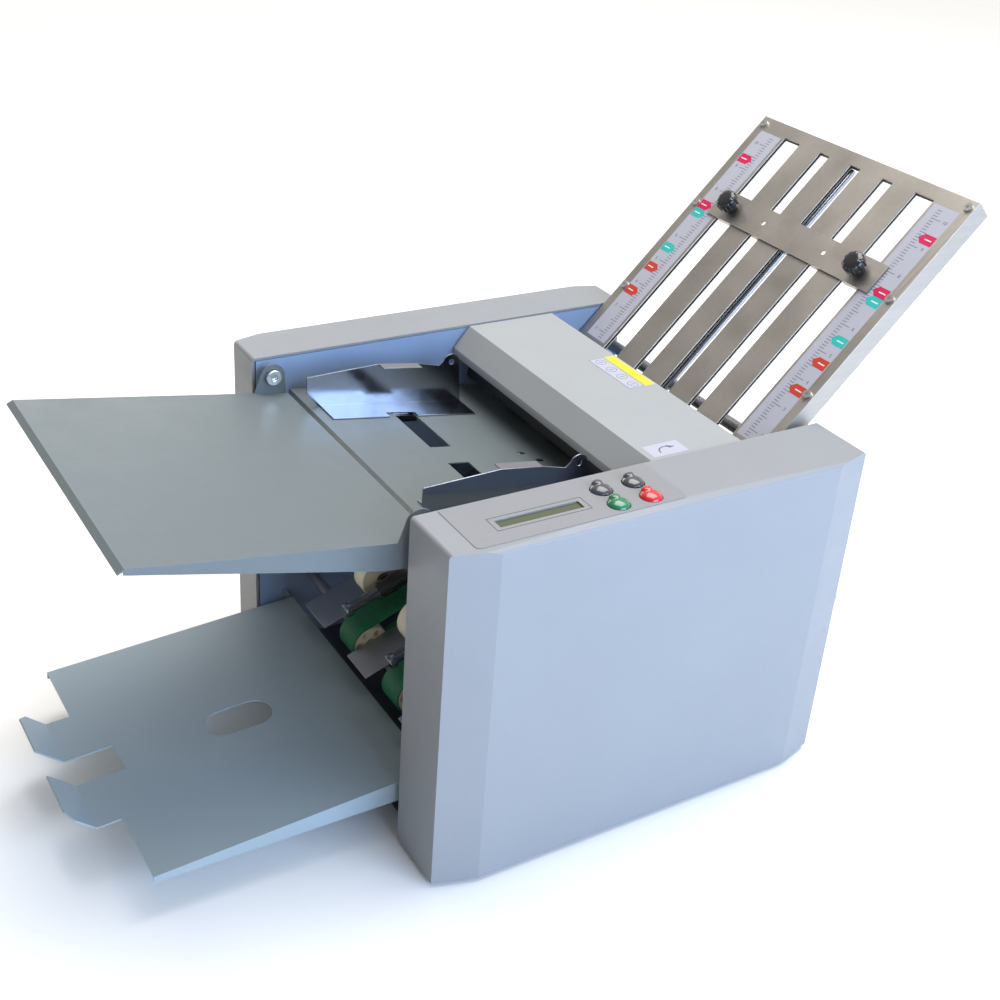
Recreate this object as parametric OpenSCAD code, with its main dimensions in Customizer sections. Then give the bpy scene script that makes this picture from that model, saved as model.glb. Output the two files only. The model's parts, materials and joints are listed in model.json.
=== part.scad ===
// Desktop buckle folder: a paper folding machine with a feed table, a hooded
// feed head, four fold rollers, two fold plates and a belt delivery on a tray.
// X runs along the paper path, Y from the control side to the far side, Z up.

/* [Covers and frames] */
// Length of both side covers along the paper path
cover_l = 330; // [300:1:400]
// Height of the side covers
cover_h = 257; // [245:1:310]
// Width of the control side cover, which holds the drive
near_cover_w = 58.5; // [56:0.5:72]
// Width of the far side cover, which holds the timing belts
far_cover_w = 44.5; // [40:0.5:60]
// Free width between the two side frames
gap_w = 250; // [206:1:300]
// Wall of the covers
cover_t = 2; // [1.5:0.1:3]
// Length of the bevel on each outer corner of a cover
bevel_x = 31; // [15:1:45]
// Depth of the same bevel across the cover
bevel_y = 9; // [5:0.5:12]
// Radius of the top edges of a cover
edge_r = 3; // [1:0.5:6]
// Thickness of the side frames
frame_t = 2.5; // [2:0.5:4]
// Height of the rubber feet below the base plate
foot_h = 4; // [3:0.5:10]
// Radius of the rubber feet
foot_r = 11; // [7:0.5:14]

/* [Feed table and deck] */
// Length of the feed table from its free end to the deck
table_l = 198; // [150:1:260]
// Slope of the table and the deck, down towards the rollers
deck_tilt = 8.65; // [5:0.05:11]
// Drop from the top of the covers to the deck plane at the feed end
deck_drop = 23.5; // [20:0.5:30]
// Gap between the table and each side frame
table_gap = 9; // [7:0.5:14]
// Sheet metal of the table, the deck and the tray
sheet_t = 1.2; // [1:0.1:2]
// Depth of the table flange at its free end
table_flange_tip = 4; // [3:0.5:8]
// Depth of the table flange at the machine
table_flange_root = 19; // [14:0.5:22]
// Distance of each paper guide from the middle of the machine
guide_offset = 89; // [60:0.5:100]
// Height of the paper guides
guide_h = 33; // [24:0.5:36]

/* [Hood] */
// Length of the level top of the hood
hood_top_l = 77; // [60:1:90]
// Drop of the hood top below the top of the covers
hood_drop = 1; // [0:0.5:4]
// Sheet metal of the hood
hood_t = 1.5; // [1:0.1:2.5]

/* [Rollers and drive] */
// Radius of the four fold rollers
roller_r = 15.85; // [15.5:0.05:15.9]
// Pitch radius of the roller gears, half the distance of two rollers
gear_r = 16; // [16:1:16]
// Teeth of each roller gear
gear_teeth = 32; // [32:1:32]
// Teeth of the motor pinion
pinion_teeth = 16; // [16:1:16]
// Radius of all roller shafts
shaft_r = 5; // [4:0.25:6]
// Running clearance of shafts and pins in their holes
fit = 0.05; // [0.02:0.01:0.1]
// Radius of the feed roller tyres
feed_r = 17.5; // [14:0.5:19]

/* [Fold plates] */
// Length of the upper fold plate from its mouth to its top edge
plate_l = 267; // [220:1:330]
// Slope of the upper fold plate
plate_angle = 45; // [40:1:50]
// Width of the upper fold plate
plate_w = 241; // [196:1:290]
// Depth of the flanges of the upper fold plate
plate_flange = 15.7; // [10:0.1:16]
// Width of the two outer slots
outer_slot_w = 19; // [14:0.5:24]
// Width of the three inner slots
inner_slot_w = 11.4; // [8:0.2:14]
// Free height for the paper between the two sheets of a plate
pocket_h = 3; // [2:0.1:4]
// Length of the lower fold plate
lower_plate_l = 130; // [110:1:160]
// Slope of the lower fold plate, down towards the back
lower_plate_angle = 35; // [30:1:40]
// Distance of the stop bar from the mouth of the upper plate
stop_at = 169; // [120:1:200]
// Radius of the clamp knobs
knob_r = 9; // [7:0.5:11]

/* [Delivery] */
// Length of the stacker tray in front of the machine
tray_l = 168; // [130:1:220]
// Height of the free end of the tray
tray_tip_z = 37; // [32:0.5:45]
// Height of the tray at its inner edge
tray_root_z = 50; // [46:0.5:56]
// Gap between the tray and each side frame
tray_gap = 6; // [4:0.5:10]
// Outer radius of the delivery belts on their pulleys
belt_r = 15.5; // [13:0.5:17]
// Thickness of the delivery belts
belt_t = 1.2; // [1:0.1:2]
// Width of the delivery belts
belt_w = 24; // [18:1:28]
// Radius of the exit wheels
exit_wheel_r = 17; // [14:0.5:20]

/* [Controls] */
// Travel of the push buttons
button_travel = 1.2; // [0.8:0.1:2]
// Clearance round each push button
button_gap = 0.4; // [0.3:0.1:0.8]
// Pitch of the push buttons along the machine
button_pitch_x = 25; // [20:0.5:30]
// Pitch of the push buttons across the cover
button_pitch_y = 20; // [17:0.5:22]
// Length of the display window
window_l = 61; // [50:1:70]
// Width of the display window
window_w = 8.5; // [6:0.5:12]

/* [Hidden] */
$fn = 48;

// Side frames: inner faces, middle and outer width
near_y = near_cover_w;
far_y = near_y + gap_w;
mid_y = (near_y + far_y) / 2;
full_w = far_y + far_cover_w;
top_z = foot_h + cover_h;
base_z = foot_h + 0.5;
base_t = 2;
frame_z = base_z + base_t;
frame_x = cover_t + 1;
frame_top = top_z - cover_t - 0.5;

cross_bar_r = 5;
screw_r = 2.2;
screw_head_r = 4;
screw_depth = 5;
foot_stem_r = 3;
bush_r = shaft_r + 2;

// Deck plane and the table pivot, in the deck's own axes (u along, w above)
deck_z = top_z - deck_drop;
function deck_x(u, w) = u * cos(deck_tilt) + w * sin(deck_tilt);
function deck_h(u, w) = deck_z - u * sin(deck_tilt) + w * cos(deck_tilt);
table_end = 24.3;
table_w = gap_w - 2 * table_gap;
table_y0 = near_y + table_gap;
table_y1 = far_y - table_gap;
pivot_u = 10;
pivot_w = 13.5;
pivot_r = 3;
ear_r = 9.5;
pin_r = 3;
rest_gap = 0.3;
table_pin_u = table_end + rest_gap + 0.3;
table_pin_w = -table_flange_root + 1.3;
pivot_at = [deck_x(pivot_u, pivot_w), deck_h(pivot_u, pivot_w)];
table_pin = [deck_x(table_pin_u, table_pin_w), deck_h(table_pin_u, table_pin_w)];
deck_gap = 4.5;
deck_start = table_end + deck_gap;
guide_slot_u = [90.4, 107.6];
guide_in = 60;
guide_out = 15;
foot_half = 5;
bar_ats = [[cover_l - 30, 30], [150, 58], [60, deck_h(60, -30)], [cover_l - 14, top_z - 34]];

// Roller centres, [x, z]: the second roller carries the three nips
roller_2 = [cover_l - 68, top_z - 79];
function polar(r, a) = [r * cos(a), r * sin(a)];
angle_1 = 108;
angle_3 = 25;
angle_4 = -75;
roller_1 = roller_2 + polar(2 * gear_r, angle_1);
roller_3 = roller_2 + polar(2 * gear_r, angle_3);
roller_4 = roller_2 + polar(2 * gear_r, angle_4);
pinion_r = gear_r * pinion_teeth / gear_teeth;
pinion_at = roller_2 + [-gear_r - pinion_r, 0];
delivery_at = roller_4 + polar(2 * gear_r, 200);
roller_gap = 3;
gear_y = near_y - 12;
gear_w = 7;
gear_tip = 0.9;
gear_root = 1.25;
tooth_share = 0.46;
pulley_r = 10;
timing_t = 1.5;
feed_pulley_y = far_y + 12;
delivery_pulley_y = far_y + 24;
timing_w = 8;
feed_u = roller_1[0] - 48.5;
feed_w = feed_r + 0.8;
feed_at = [deck_x(feed_u, feed_w), deck_h(feed_u, feed_w)];
shafts = [roller_1, roller_2, roller_3, roller_4, feed_at, delivery_at];
tyre_ys = [mid_y - 60, mid_y, mid_y + 60];
motor_face_y = near_y - 14.5;
motor_l = 34;
motor_r = 21;
deck_end = (roller_1[0] - roller_r - 3) / cos(deck_tilt);

// Upper fold plate, measured from its mouth
mouth = roller_1 + 16.6 * [cos(plate_angle), sin(plate_angle)]
    - 6.6 * [-sin(plate_angle), cos(plate_angle)];
plate_y = mid_y + 3;
plate_half = plate_w / 2;
scale_w = 25;
scale_edge = 8.5;
outer_slot_y = plate_half - scale_edge - scale_w - 2.5 - outer_slot_w / 2;
inner_slot_y = (outer_slot_y - outer_slot_w / 2 + inner_slot_w / 2) / 2;
slot_ys = [-outer_slot_y, -inner_slot_y, 0, inner_slot_y, outer_slot_y];
function slot_w(i) = i == 0 || i == 4 ? outer_slot_w : inner_slot_w;
slot_start = 22;
slot_end = plate_l - 11.4;
plate_t = 1.2;
lower_sheet_t = 1;
lower_sheet_n = -plate_t - pocket_h;
rail_y = inner_slot_w / 2 - 1.5;
rail_w = 8;
rail_h = 4;
rail_bevel = 1.2;
plate_screw_xs = [plate_l - 7, plate_l - 94, plate_l - 185];
plate_screw_y = plate_half - 5.5;
plate_pin_x = 50;
plate_pin_n = -plate_flange + 5;
plate_pin = mouth + plate_pin_x * [cos(plate_angle), sin(plate_angle)]
    + plate_pin_n * [-sin(plate_angle), cos(plate_angle)];
stop_bar_w = 25.5;
stop_bar_half = outer_slot_y + 20;
stop_n = 0.6;
stop_t = 1.2;
knob_x = stop_at + stop_bar_w / 2;
knob_h = 14;
stud_l = stop_n + stop_t + plate_t + pocket_h + lower_sheet_t + 4;

// Lower fold plate, measured from its mouth
lower_mouth = roller_2 + [26, -18];
lower_w = gap_w - 12;
lower_slot_w = 12;
lower_slot_y = 70;
lower_stop_at = 66;

// Delivery: belt run from the front idler to the driven pulleys
idler_at = [46, tray_root_z + 16];
belt_run = norm(delivery_at - idler_at);
belt_angle = atan2(delivery_at[1] - idler_at[1], delivery_at[0] - idler_at[0]);
near_belt = 48;
far_belt = 23.5;
belt_ys = [mid_y - near_belt, mid_y + far_belt];
pulley_gap = 0.3;
screw_ats = concat(bar_ats, [idler_at]);
idler_axle_r = 4;
rod_r = 4;
exit_n = belt_r + 0.4 + exit_wheel_r;
rod_n = exit_n - 1.5;
rod_start = -1;
rod_end = 134;
rod_nut_r = 5.5;
rod_nut_l = 5;
exit_along = 32;
exit_axle_r = 3;
wheel_in = 8.5;
wheel_w = 15;
wheel_gap = 0.4;
carrier_half = 8;
carrier_wall = 2.5;
tie_u = exit_along + exit_wheel_r + 5;
tie_w = 6;
tie_half = 4;
chute_start = -21;
strip_gap = 14;
strip_near = 15;
strip_far = 39.5;
chute_bar_u = belt_run - 72;
chute_bar_l = 38;
chute_t = 1.2;
chute_n = idler_axle_r + 0.3;

// Stacker tray
tray_x1 = 28;
tray_slope = atan2(tray_root_z - tray_tip_z, tray_l + tray_x1);
tray_pin = [27, tray_root_z - 6.5];
stub_pin = [24.3, tray_root_z + 3];
tray_flange_z = tray_tip_z - 5;
tab_l = 17;
tab_tip = 24;
tab_w = 45.5;
tab_slot_w = 28;
tray_rest = [tray_pin[0] - 15, tray_flange_z - pin_r - rest_gap];

// Hood profile, [x, z]
hood_x1 = cover_l - 71;
hood_z = top_z - hood_drop;
hood_front = [hood_x1 - hood_top_l, hood_z];
hood_lip = [hood_front[0] - 13.5, hood_z - 16];
hood_gap = 1.2;
hood_pin = [hood_x1 - 7, hood_z - 9];
hood_cheek = 12;
hood_rest = [hood_front[0] + 4, hood_z - hood_cheek - pin_r - rest_gap];

// Controls on the near cover
button_x = 126.3;
button_y = near_y - 20.3;
button_r = 7.5;
button_back_r = 3.6;
button_back = 5.2;
button_h = 3.6;
buttons = [[0, 0], [button_pitch_x, 0], [0, 1], [button_pitch_x, 1]];
window_x = 74;
window_y = near_y - 30;
overlay_t = 0.4;
board_z = top_z - 16;

// Rear face fittings of the near cover
inlet_z = 40;
rocker_z = 78;
rear_y = near_y - 25;
rocker_in = 4;
rocker_pin_r = 1.5;
rocker_tilt = 8;

// The origin lies under the middle of the whole machine
tray_reach = tray_l + tab_l * cos(tray_slope) + tab_tip * cos(45 - tray_slope)
    + sheet_t * sin(45 - tray_slope);
plate_reach = mouth[0] + plate_l * cos(plate_angle) + plate_flange * sin(plate_angle);
origin_x = (plate_reach - tray_reach) / 2;

module place() {
    translate([-origin_x, -full_w / 2, 0]) children();
}

// Extrudes a profile drawn in X and Z from y0 to y1
module along_y(y0, y1) {
    translate([0, y1, 0]) rotate([90, 0, 0]) linear_extrude(y1 - y0) children();
}

// Extrudes a profile drawn in Y and Z from x0 to x1
module along_x(x0, x1) {
    translate([x0, 0, 0]) rotate([90, 0, 90]) linear_extrude(x1 - x0) children();
}

// A rod along Y at [x, z]
module rod_y(at, r, y0, y1) {
    translate([at[0], y0, at[1]]) rotate([-90, 0, 0]) cylinder(r = r, h = y1 - y0);
}

module block(low, high) {
    translate(low) cube(high - low);
}

module deck_axes() {
    translate([0, 0, deck_z]) rotate([0, deck_tilt, 0]) children();
}

module plate_axes() {
    translate([mouth[0], plate_y, mouth[1]]) rotate([0, -plate_angle, 0]) children();
}

module lower_axes() {
    translate([lower_mouth[0], mid_y, lower_mouth[1]]) rotate([0, lower_plate_angle, 0])
        children();
}

module belt_axes() {
    translate([idler_at[0], 0, idler_at[1]]) rotate([0, -belt_angle, 0]) children();
}

module tray_axes() {
    translate([tray_x1, 0, tray_root_z]) rotate([0, -tray_slope, 0]) children();
}

// A loop outline round two equal circles a run apart, along local X
module stadium(run, r) {
    circle(r);
    translate([run, 0]) circle(r);
    translate([0, -r]) square([run, 2 * r]);
}

// Slot with round ends along X, for cutting sheets
module obround(l, w, h) {
    linear_extrude(h, center = true) translate([-(l - w) / 2, 0]) stadium(l - w, w / 2);
}

// ---- Covers and frames ----

// Plan of a cover: outer face at y = 0, open side at y = w, set in by t
module cover_plan(w, t) {
    k = 1 + t * norm([1 / bevel_x, 1 / bevel_y]);
    bx = bevel_x * (k - t / bevel_y);
    by = bevel_y * (k - t / bevel_x);
    polygon([[t, w], [t, by], [bx, t], [cover_l - bx, t], [cover_l - t, by], [cover_l - t, w]]);
}

module cover_shell(w) {
    intersection() {
        difference() {
            linear_extrude(cover_h) cover_plan(w, 0);
            translate([0, 0, -1]) linear_extrude(cover_h - cover_t + 1) cover_plan(w + 1, cover_t);
        }
        along_y(-1, w + 1) {
            square([cover_l, cover_h - edge_r]);
            translate([edge_r, 0]) square([cover_l - 2 * edge_r, cover_h]);
            translate([edge_r, cover_h - edge_r]) circle(edge_r);
            translate([cover_l - edge_r, cover_h - edge_r]) circle(edge_r);
        }
        along_x(-1, cover_l + 1) {
            square([w, cover_h - edge_r]);
            translate([edge_r, 0]) square([w - edge_r, cover_h]);
            translate([edge_r, cover_h - edge_r]) circle(edge_r);
        }
    }
}

// Outline of a push button, wide at the front and narrow at the back
module button_outline(grow) {
    r1 = button_r + grow;
    r2 = button_back_r + grow;
    a = acos((r1 - r2) / button_back);
    side1 = 0.97 * r1 * [sin(a), cos(a)];
    side2 = [0, button_back] + 0.97 * r2 * [sin(a), cos(a)];
    circle(r1);
    translate([0, button_back]) circle(r2);
    polygon([side1, side2, [-side2[0], side2[1]], [-side1[0], side1[1]]]);
}

module at_button(i) {
    translate([button_x + buttons[i][0], button_y - buttons[i][1] * button_pitch_y, 0])
        children();
}

module near_cover() color("#b9bcbf") place() {
    difference() {
        translate([0, 0, foot_h]) cover_shell(near_y);
        for (i = [0:3]) at_button(i)
            translate([0, 0, top_z - 5]) linear_extrude(10) button_outline(button_gap);
        translate([window_x - window_l / 2, window_y - window_w / 2, top_z - 5])
            cube([window_l, window_w, 10]);
        translate([cover_l - 5, rear_y - 14, inlet_z - 10]) cube([10, 28, 20]);
        translate([cover_l - 5, rear_y - 11.5, rocker_z - 8.5]) cube([10, 23, 17]);
    }
}

module far_cover() color("#b9bcbf") place() {
    translate([0, full_w, foot_h]) mirror([0, 1, 0]) cover_shell(far_cover_w);
}

module base_plate() color("#8f9499") place() difference() {
    inset = cover_t + 0.5;
    translate([0, 0, base_z]) linear_extrude(base_t) {
        cover_plan(near_y + 1, inset);
        translate([0, full_w]) mirror([0, 1]) cover_plan(far_cover_w + 1, inset);
        translate([12, near_y - 1]) square([cover_l - 24, gap_w + 2]);
    }
    at_feet() cylinder(r = foot_stem_r, h = 20);
}

module frame_plate(y0) {
    difference() {
        block([frame_x, y0, frame_z], [cover_l - frame_x, y0 + frame_t, frame_top]);
        for (s = shafts) rod_y(s, bush_r + 0.02, y0 - 1, y0 + frame_t + 1);
        for (b = screw_ats) rod_y(b, screw_r, y0 - 1, y0 + frame_t + 1);
    }
}

module near_frame() color("#9fb4cf") place() {
    frame_plate(near_y - frame_t);
    for (a = [120, 180, 240])
        rod_y(pinion_at + polar(24, a), 3, motor_face_y, near_y - frame_t);
}

module far_frame() color("#9fb4cf") place() {
    frame_plate(far_y);
}

module cross_bars() color("silver") place() difference() {
    union() {
        for (b = bar_ats) rod_y(b, cross_bar_r, near_y, far_y);
        rod_y(idler_at, idler_axle_r, near_y, far_y);
    }
    for (b = screw_ats, y = [near_y, far_y]) rod_y(b, screw_r, y - screw_depth, y + screw_depth);
}

module chassis_screws() color("#55585c") place() {
    for (b = screw_ats) {
        rod_y(b, screw_r, near_y - frame_t, near_y + screw_depth);
        rod_y(b, screw_head_r, near_y - frame_t - 2.2, near_y - frame_t);
        rod_y(b, screw_r, far_y - screw_depth, far_y + frame_t);
        rod_y(b, screw_head_r, far_y + frame_t, far_y + frame_t + 2.2);
    }
}

module at_feet() {
    for (x = [bevel_x + 4, cover_l - bevel_x - 4], y = [foot_r + 8, full_w - foot_r - 8])
        translate([x, y, 0]) children();
}

module rubber_feet() color("#202020") place() at_feet() {
    cylinder(r = foot_r, h = base_z);
    translate([0, 0, base_z]) cylinder(r = foot_stem_r, h = base_t + 2);
}

// Plain pins set in the frames: tray and hood pivots, rests and plate hooks
module frame_pins() color("#c8cacc") place() {
    for (p = [[table_pin, table_gap + 5], [tray_pin, tray_gap + 4], [tray_rest, tray_gap + 4],
            [hood_pin, hood_gap + 5], [hood_rest, hood_gap + 5], [stub_pin, tray_gap - 0.5]]) {
        rod_y(p[0], pin_r, near_y, near_y + p[1]);
        rod_y(p[0], pin_r, far_y - p[1], far_y);
    }
    rod_y(plate_pin, pin_r, near_y, plate_y - plate_half + 6);
    rod_y(plate_pin, pin_r, plate_y + plate_half - 6, far_y);
}

// ---- Feed table, deck and guides ----

module table_side(y0) {
    along_y(y0, y0 + sheet_t) difference() {
        union() {
            polygon([[table_end - table_l, -sheet_t / 2], [table_end, -sheet_t / 2],
                [table_end - 3, -table_flange_root], [-10, -table_flange_root],
                [table_end - table_l, -table_flange_tip]]);
            translate([pivot_u, pivot_w]) circle(ear_r);
            polygon([[pivot_u - ear_r - 3, -1], [pivot_u + ear_r + 3, -1],
                [pivot_u + ear_r, pivot_w], [pivot_u - ear_r, pivot_w]]);
        }
        translate([pivot_u, pivot_w]) circle(pivot_r + fit);
    }
}

module feed_table() color("#9aa7ab") place() deck_axes() {
    block([table_end - table_l, table_y0, -sheet_t], [table_end, table_y1, 0]);
    translate([table_end - table_l, table_y0, 0]) rotate([0, -35, 0])
        block([-5, 0, -sheet_t], [0, table_w, 0]);
    table_side(table_y0);
    table_side(table_y1 - sheet_t);
}

module pivot_screws() color("#c8cacc") place() {
    rod_y(pivot_at, pivot_r, near_y, table_y0 + sheet_t + 0.3);
    rod_y(pivot_at, 5, near_y, table_y0 - 0.3);
    rod_y(pivot_at, pivot_r, table_y1 - sheet_t - 0.3, far_y);
    rod_y(pivot_at, 5, table_y1 + 0.3, far_y);
    near_head = table_y0 + sheet_t + 0.3;
    far_head = table_y1 - sheet_t - 0.3;
    difference() {
        union() {
            rod_y(pivot_at, 6, near_head, near_head + 3);
            rod_y(pivot_at, 6, far_head - 3, far_head);
        }
        for (y = [near_head + 3, far_head - 3]) translate([pivot_at[0], y, pivot_at[1]])
            rotate([90, 0, 0]) cylinder(r = 2.3, h = 3.6, center = true, $fn = 6);
    }
}

module feed_deck() color("#a9b4b5") place() deck_axes() {
    y0 = near_y + 1.5;
    y1 = far_y - 1.5;
    foot_y = guide_offset - 9;
    difference() {
        block([deck_start, y0, -sheet_t], [deck_end, y1, 0]);
        for (s = [0, 1]) translate([0, mid_y, 0]) mirror([0, s, 0])
            block([guide_slot_u[0], foot_y - guide_in - foot_half - 2, -5],
                [guide_slot_u[1], foot_y + guide_out + foot_half + 2, 5]);
        block([feed_u - 8, mid_y - 20, -5], [feed_u + 8, mid_y + 20, 5]);
        translate([158, mid_y - 4, 0]) obround(7, 4, 5);
        translate([167, mid_y - 17, 0]) obround(8, 5, 5);
    }
    block([deck_start, y0, -14], [deck_start + sheet_t, y1, -sheet_t]);
    for (y = [y0, y1 - sheet_t])
        block([deck_start, y, -14], [deck_end - 6, y + sheet_t, -sheet_t]);
}

module stack_gate() color("#1b1b1c") place() deck_axes() {
    gate_u = feed_u - feed_r + 1;
    block([gate_u - 3.5, near_y + 6, 7], [gate_u - 2, far_y - 6, 26]);
    for (y = [near_y, far_y - 6]) block([gate_u - 3.5, y, 7], [gate_u - 2, y + 6, 14]);
}

module separator_pad() color("#5a4030") place() deck_axes() {
    block([feed_u - 7, mid_y - 19, -3], [feed_u + 7, mid_y + 19, 0.3]);
    block([feed_u - 7, mid_y - 26, -3.2], [feed_u + 7, mid_y + 26, -sheet_t]);
}

// L-shaped guide on the deck, drawn for the far side at y = 0
module paper_guide() {
    t = 1;
    tab_u = [81, 114];
    difference() {
        union() {
            along_y(0, t) {
                polygon([[37, 0.2], [26, 10], [24.5, 23], [tab_u[0], guide_h],
                    [tab_u[1], guide_h], [133, guide_h - 2], [137, guide_h + 2], [150, guide_h + 2],
                    [158, 0.2]]);
                translate([143.5, guide_h + 0.5]) circle(7);
            }
            block([38, -24, 0.2], [158, t, 0.2 + t]);
            block([tab_u[0], -8, guide_h - t], [tab_u[1], 0, guide_h]);
        }
        translate([143.5, 0, guide_h + 1]) rotate([90, 0, 0]) cylinder(r = 2.2, h = 10, center = true);
        block([84, -30, -1], [108, -17, 3]);
    }
    foot_y = -9;
    foot_u = guide_slot_u + [1.5, -1.5];
    block([foot_u[0], foot_y - foot_half, -sheet_t - 0.5], [foot_u[1], foot_y + foot_half, 0.2]);
    block([foot_u[0] - 6, foot_y - foot_half - 3, -7],
        [foot_u[1] + 6, foot_y + foot_half + 3, -sheet_t - 0.4]);
}

module near_guide() color("#c3c7cc") place() deck_axes() {
    translate([0, mid_y - guide_offset, 0]) mirror([0, 1, 0]) paper_guide();
}

module far_guide() color("#c3c7cc") place() deck_axes() {
    translate([0, mid_y + guide_offset, 0]) paper_guide();
}

// ---- Hood ----

module hood_profile(t) {
    down = [t, -t * 0.45];
    polygon([hood_lip + [-0.8, -5.5], hood_lip, hood_front, [hood_x1, hood_z], [hood_x1, hood_z - 12],
        [hood_x1 - t, hood_z - 12], [hood_x1 - t, hood_z - t], hood_front + [t * 0.45, -t],
        hood_lip + down, hood_lip + [t - 0.8, -5.5]]);
}

module hood() color("#c9cbcc") place() {
    y0 = near_y + hood_gap;
    y1 = far_y - hood_gap;
    along_y(y0, y1) hood_profile(hood_t);
    for (y = [y0, y1 - hood_t]) along_y(y, y + hood_t) difference() {
        union() {
            polygon([hood_lip + [0.5, -3], hood_front + [0.5, -0.5], [hood_x1 - 0.5, hood_z - 0.5],
                [hood_x1 - 0.5, hood_z - hood_cheek], [hood_front[0], hood_z - hood_cheek]]);
            translate(hood_pin) circle(6);
        }
        translate(hood_pin) circle(pin_r + fit);
    }
}

// ---- Fold plates ----

module plate_slots(grow, depth) {
    for (i = [0:4])
        block([slot_start, slot_ys[i] - slot_w(i) / 2 - grow, -depth],
            [slot_end, slot_ys[i] + slot_w(i) / 2 + grow, depth]);
}

module at_plate_screws() {
    for (x = plate_screw_xs, y = [-plate_screw_y, plate_screw_y]) translate([x, y, 0]) children();
}

module fold_plate_top() color("#bdb6ad") place() plate_axes() {
    difference() {
        union() {
            block([0, -plate_half, -plate_t], [plate_l, plate_half, 0]);
            for (y = [-plate_half, plate_half - plate_t]) along_y(y, y + plate_t)
                polygon([[26, -plate_t], [40, -plate_flange], [plate_l, -plate_flange],
                    [plate_l, -plate_t]]);
        }
        plate_slots(0, 5);
        at_plate_screws() cylinder(r = 1.6, h = 10, center = true);
        translate([plate_pin_x, 0, plate_pin_n]) rotate([90, 0, 0])
            cylinder(r = pin_r + 0.02, h = plate_w + 2, center = true);
    }
}

module fold_plate_bottom() color("#9aa0a6") place() plate_axes() {
    inner = plate_half - plate_t - 0.3;
    difference() {
        block([3, -inner, lower_sheet_n - lower_sheet_t], [plate_l - 3, inner, lower_sheet_n]);
        plate_slots(1.5, 9);
        at_plate_screws() cylinder(r = 1.6, h = 20, center = true);
    }
}

// Bar that stiffens the lower sheet beside the middle slot
module plate_rail() color("#c8cacc") place() plate_axes() along_x(slot_start, slot_end)
    translate([rail_y, lower_sheet_n - lower_sheet_t]) polygon([[rail_bevel, 0], [rail_w, 0],
        [rail_w, -rail_h], [0, -rail_h], [0, -rail_bevel]]);

module plate_screws() color("#c8cacc") place() {
    plate_axes() at_plate_screws() {
        translate([0, 0, lower_sheet_n - lower_sheet_t - 3]) cylinder(r = 1.5, h = 3 - lower_sheet_n
            + lower_sheet_t + 0.4);
        difference() {
            cylinder(r = 3.4, h = 1.9);
            translate([0, 0, 0.7]) cylinder(r = 1.4, h = 2, $fn = 6);
        }
        translate([0, 0, lower_sheet_n]) cylinder(r = 2.6, h = pocket_h);
        translate([0, 0, lower_sheet_n - lower_sheet_t - 2.4]) cylinder(r = 3.2, h = 2.4, $fn = 6);
    }
    lower_axes() for (x = [24, lower_plate_l - 8], s = [-1, 1])
        translate([x, s * (lower_w / 2 - 8), 0]) {
            cylinder(r = 3.4, h = 1.9);
            translate([0, 0, -8]) cylinder(r = 1.5, h = 9);
        }
}

module lower_plate() color("#aab0b5") place() lower_axes() {
    half = lower_w / 2;
    low = -plate_t - pocket_h;
    difference() {
        union() {
            block([0, -half, -plate_t], [lower_plate_l, half, 0]);
            block([2, -half, low - plate_t], [lower_plate_l, half, low]);
            for (s = [-1, 1]) block([12, s > 0 ? half - plate_t : -half, low],
                [lower_plate_l, s > 0 ? half : -half + plate_t, -plate_t]);
        }
        for (y = [-lower_slot_y, 0, lower_slot_y])
            block([18, y - lower_slot_w / 2, -20], [lower_plate_l - 10, y + lower_slot_w / 2, 10]);
        for (x = [24, lower_plate_l - 8], s = [-1, 1])
            translate([x, s * (half - 8), 0]) cylinder(r = 1.6, h = 30, center = true);
    }
    for (s = [-1, 1]) block([20, s > 0 ? half : -gap_w / 2, low - plate_t],
        [34, s > 0 ? gap_w / 2 : -half, 0]);
}

module paper_stop() color("#b9b2a9") place() plate_axes() {
    difference() {
        block([stop_at, -stop_bar_half, stop_n], [stop_at + stop_bar_w, stop_bar_half,
            stop_n + stop_t]);
        for (y = [-outer_slot_y, outer_slot_y])
            translate([knob_x, y, 0]) cylinder(r = 2.5 + fit, h = 10, center = true);
        for (y = [-inner_slot_y, inner_slot_y])
            translate([knob_x, y, 0]) cylinder(r = 2, h = 10, center = true);
    }
    for (i = [0:4]) {
        half = slot_w(i) / 2 - 1.7;
        block([stop_at, slot_ys[i] - half, lower_sheet_n + 0.4],
            [stop_at + stop_t, slot_ys[i] + half, stop_n]);
    }
    for (y = [-outer_slot_y, outer_slot_y]) translate([knob_x, y, 0]) difference() {
        block([-8, -outer_slot_w / 2 - 5, lower_sheet_n - lower_sheet_t - 3],
            [8, outer_slot_w / 2 + 5, lower_sheet_n - lower_sheet_t - 0.6]);
        cylinder(r = 2.5 + fit, h = 40, center = true);
    }
}

// Fluted clamp knob on a stud, its seat at z = 0
module clamp_knob(stud) {
    translate([0, 0, 0.2]) cylinder(r = knob_r * 0.62, h = 4);
    translate([0, 0, 4.2]) difference() {
        cylinder(r = knob_r, h = knob_h - 4.2);
        for (a = [0:45:315]) rotate(a) translate([knob_r + 1.6, 0, -1]) cylinder(r = 3, h = knob_h);
    }
    translate([0, 0, -stud]) cylinder(r = 2.5, h = stud + 1);
}

module near_stop_knob() color("#18181a") place() plate_axes()
    translate([knob_x, -outer_slot_y, stop_n + stop_t]) clamp_knob(stud_l);

module far_stop_knob() color("#18181a") place() plate_axes()
    translate([knob_x, outer_slot_y, stop_n + stop_t]) clamp_knob(stud_l);

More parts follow.
